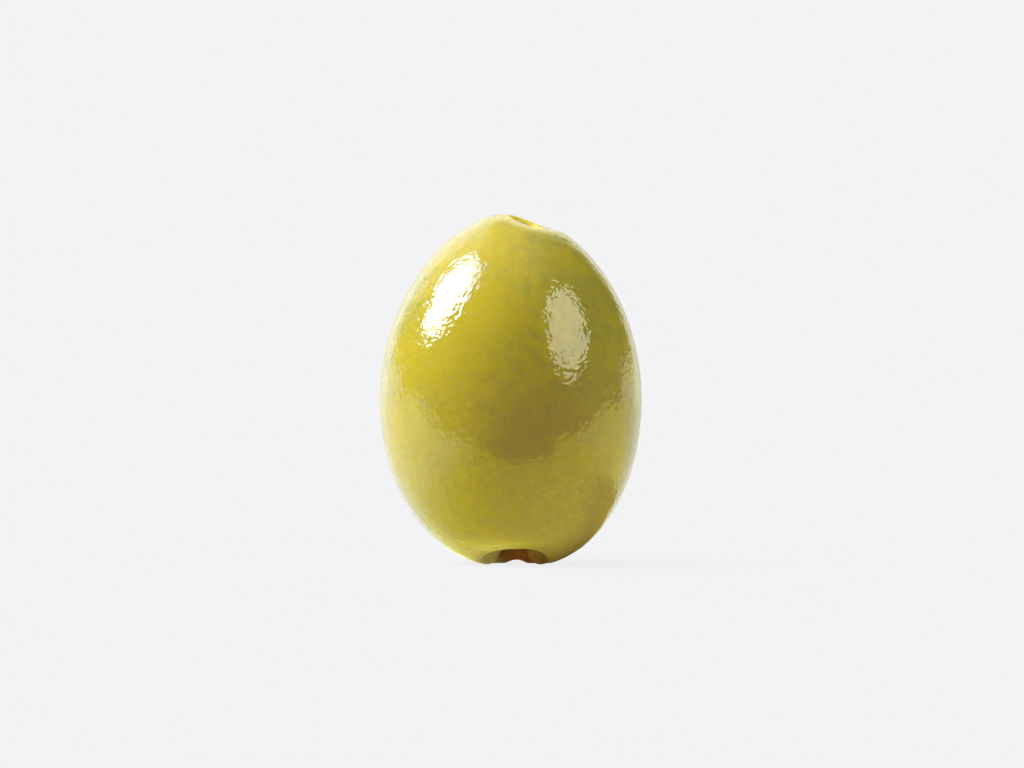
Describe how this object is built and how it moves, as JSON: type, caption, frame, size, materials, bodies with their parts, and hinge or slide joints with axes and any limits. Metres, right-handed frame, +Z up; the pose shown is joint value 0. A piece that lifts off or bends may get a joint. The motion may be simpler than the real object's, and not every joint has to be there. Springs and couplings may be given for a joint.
{
  "type": "green olive",
  "caption": "Egg-shaped green table olive, glossy, with a small hollow in its tip and a cleft hollow in its base, standing upright on the lobes of its base.",
  "frame": {"origin": "on the resting plane, under the middle of the fruit's bounding box", "axes": "+Z up from the lobed base to the tip; -Y is the side where the cleft of the base opens; +X is the side that the hollow of the tip leans to"},
  "size_m": [0.018, 0.0176, 0.024],
  "materials": {
    "olive_skin": "gloss"
  },
  "bodies": {
    "root": {"olive": "olive_skin"}
  },
  "joints": []
}
